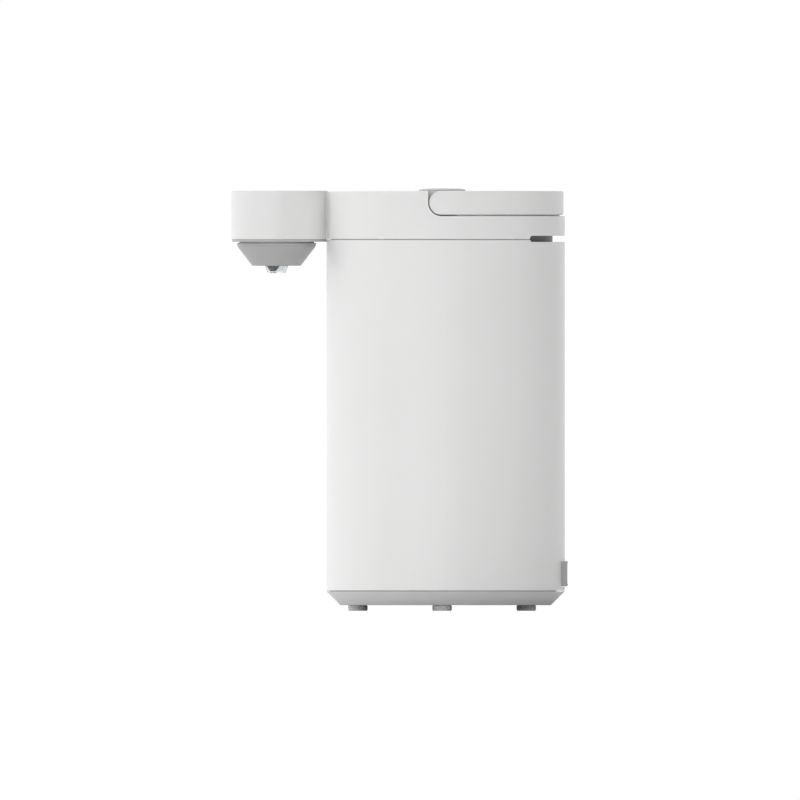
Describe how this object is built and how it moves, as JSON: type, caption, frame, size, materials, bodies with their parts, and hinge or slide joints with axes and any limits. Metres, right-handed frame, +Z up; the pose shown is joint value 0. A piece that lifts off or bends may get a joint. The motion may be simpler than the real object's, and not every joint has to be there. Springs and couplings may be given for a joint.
{
  "type": "electric thermo pot",
  "caption": "Free-standing cylindrical hot-water dispenser with an overhanging spout head, a hinged lid with a round release button and a flush carry handle.",
  "frame": {"origin": "on the table plane, midway across the outline's width and midway between the front of the spout head and the rear of the power inlet", "axes": "+Z up along the casing, -Y towards the user and the spout, +X to the right as seen from the rear"},
  "size_m": [0.2, 0.2824, 0.3545],
  "materials": {
    "shell_white": "fine satin grain",
    "base_grey": "satin",
    "foot_rubber": "matte",
    "screw_steel": "bright zinc",
    "clear_tip": "clear, moulded",
    "dark_insert": "satin",
    "panel_glass": "gloss black",
    "board_green": "solder mask",
    "board_dark": "moulded components",
    "inner_white": "plain moulded",
    "liner_steel": "satin stainless",
    "silicone": "translucent silicone",
    "duct_grey": "satin",
    "spring_steel": "drawn wire",
    "insulation": "needled felt",
    "heater_metal": "cast",
    "element_sheath": "heat-tinted sheath",
    "ceramic": "ceramic body",
    "impeller_plastic": "moulded",
    "magnet_dark": "sintered magnet",
    "pin_brass": "plated contact"
  },
  "bodies": {
    "pot": {"outer_casing": "shell_white", "base_skirt": "base_grey", "rubber_feet": "foot_rubber", "base_screws": "screw_steel", "top_housing": "shell_white", "top_screws": "screw_steel", "underside_plate": "base_grey", "nozzle_shroud": "base_grey", "spout_tip": "clear_tip", "nozzle_insert": "dark_insert", "control_panel": "panel_glass", "display_board": "board_green", "steam_duct": "duct_grey", "lid_hinge_pin": "screw_steel", "handle_bushes": "inner_white", "neck_ring": "duct_grey", "liner_seal": "silicone", "inner_liner": "liner_steel", "insulation_sleeve": "insulation", "chassis": "duct_grey", "heater_plate": "heater_metal", "heating_element": "element_sheath", "thermostat": "ceramic", "temperature_probe": "liner_steel", "pump_housing": "inner_white", "pump_cover": "inner_white", "pump_bracket": "duct_grey", "motor_can": "heater_metal", "inlet_hose": "silicone", "riser_tube": "silicone", "head_pipe": "silicone", "power_inlet": "base_grey", "inlet_pins": "pin_brass", "inlet_magnets": "magnet_dark", "main_board": "board_green", "board_parts": "board_dark", "wiring": "dark_insert"},
    "lid": {"lid": "shell_white", "lid_base": "inner_white", "lid_screws": "screw_steel", "lid_inner_cover": "liner_steel", "lid_gasket": "silicone", "steam_valve": "inner_white", "button_spring": "spring_steel"},
    "button": {"lid_button": "base_grey"},
    "bolt": {"latch_bolt": "inner_white"},
    "handle": {"handle": "shell_white", "handle_screws": "screw_steel"},
    "impeller": {"pump_impeller": "impeller_plastic"},
    "rotor": {"motor_rotor": "magnet_dark"}
  },
  "joints": [
    {"name": "lid_hinge", "type": "hinge", "parent": "pot", "child": "lid", "pos_m": [0, 0.1117, 0.348], "axis": [-1, 0, 0], "range_deg": [0, 85]},
    {"name": "button_press", "type": "slide", "parent": "lid", "child": "button", "axis": [0, 0, -1], "range_m": [0, 0.003], "stiffness_N_per_m": 500, "springref_m": -0.003, "deforming": ["button_spring"]},
    {"name": "latch_slide", "type": "slide", "parent": "lid", "child": "bolt", "axis": [0, 1, 0], "range_m": [0, 0.003]},
    {"name": "handle_hinge", "type": "hinge", "parent": "pot", "child": "handle", "pos_m": [0, 0.0351, 0.34215], "axis": [1, 0, 0], "range_deg": [0, 90]},
    {"name": "rotor_spin", "type": "hinge", "parent": "pot", "child": "rotor", "pos_m": [-0.0155, -0.0063, 0.02], "axis": [0, 0, 1], "continuous": true},
    {"name": "impeller_spin", "type": "hinge", "parent": "pot", "child": "impeller", "pos_m": [-0.0155, -0.0063, 0.04], "axis": [0, 0, 1], "continuous": true}
  ],
  "couplings": [
    {"joint": "latch_slide", "follows": "button_press", "ratio": 1},
    {"joint": "impeller_spin", "follows": "rotor_spin", "ratio": 1}
  ]
}
